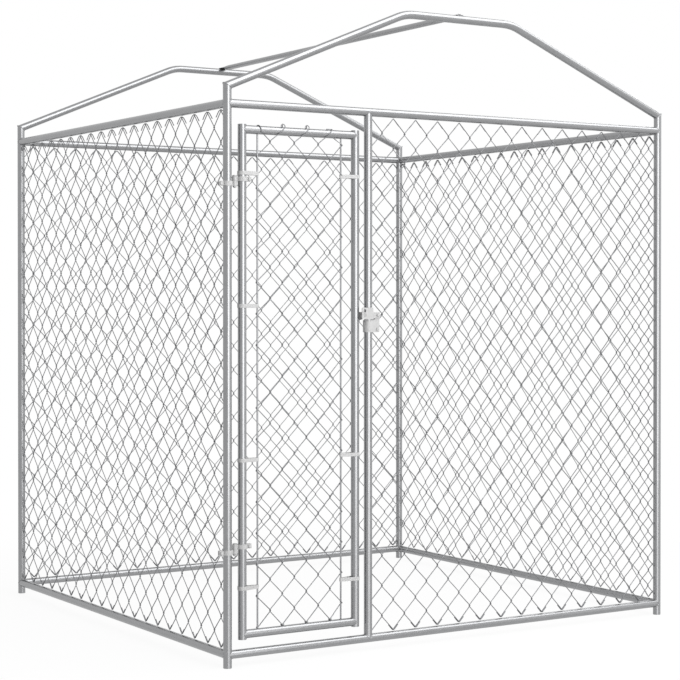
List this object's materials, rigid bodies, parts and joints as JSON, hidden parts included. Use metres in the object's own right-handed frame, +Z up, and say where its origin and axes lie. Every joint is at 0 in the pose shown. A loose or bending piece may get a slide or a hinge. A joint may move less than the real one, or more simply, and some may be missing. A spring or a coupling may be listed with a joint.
{
  "type": "outdoor dog kennel run",
  "caption": "Free-standing outdoor dog run of galvanised tube with chain-link walls, gable arches, a ridge bar and a hinged chain-link door with a drop-over loop latch.",
  "frame": {"origin": "on the ground under the middle of the posts' rectangle", "axes": "+Z up; the door side faces -Y; +X is to the right when facing the door from outside"},
  "size_m": [1.9475, 1.8299, 2.2582],
  "materials": {
    "galvanised_tube": "satin galvanised",
    "mesh_wire": "galvanised wire",
    "zinc_fittings": "bright zinc plated"
  },
  "bodies": {
    "frame": {"post_front_left": "galvanised_tube", "post_front_right": "galvanised_tube", "post_back_left": "galvanised_tube", "post_back_right": "galvanised_tube", "front_bottom_rail": "galvanised_tube", "front_top_rail": "galvanised_tube", "back_bottom_rail": "galvanised_tube", "back_top_rail": "galvanised_tube", "left_bottom_rail": "galvanised_tube", "left_top_rail": "galvanised_tube", "right_bottom_rail": "galvanised_tube", "right_top_rail": "galvanised_tube", "door_jamb": "galvanised_tube", "front_arch": "galvanised_tube", "back_arch": "galvanised_tube", "ridge_bar": "galvanised_tube", "ridge_screws": "zinc_fittings", "left_mesh": "mesh_wire", "right_mesh": "mesh_wire", "back_mesh": "mesh_wire", "front_mesh": "mesh_wire", "upper_post_strap": "zinc_fittings", "lower_post_strap": "zinc_fittings", "post_strap_bolts": "zinc_fittings", "post_strap_nuts": "zinc_fittings", "hinge_pins": "zinc_fittings", "hinge_pin_nuts": "zinc_fittings", "latch_collar": "zinc_fittings", "collar_bolt": "zinc_fittings", "collar_nut": "zinc_fittings", "latch_pivot": "zinc_fittings", "latch_pivot_nut": "zinc_fittings"},
    "latch_loop": {"latch_loop": "zinc_fittings"},
    "door": {"door_hinge_stile": "galvanised_tube", "door_latch_stile": "galvanised_tube", "door_top_rail": "galvanised_tube", "door_bottom_rail": "galvanised_tube", "door_mesh": "mesh_wire", "hinge_side_tension_bar": "mesh_wire", "latch_side_tension_bar": "mesh_wire", "hinge_side_bands": "zinc_fittings", "latch_side_bands": "zinc_fittings", "upper_door_strap": "zinc_fittings", "lower_door_strap": "zinc_fittings", "door_strap_bolts": "zinc_fittings", "door_strap_nuts": "zinc_fittings", "latch_striker": "mesh_wire"}
  },
  "joints": [
    {"name": "door_hinge", "type": "hinge", "parent": "frame", "child": "door", "pos_m": [-0.922, -0.895, 1], "axis": [0, 0, -1], "range_deg": [0, 105]},
    {"name": "latch_loop_lift", "type": "hinge", "parent": "frame", "child": "latch_loop", "pos_m": [-0.364, -0.895, 1.1728], "axis": [0, 1, 0], "range_deg": [0, 30]}
  ]
}
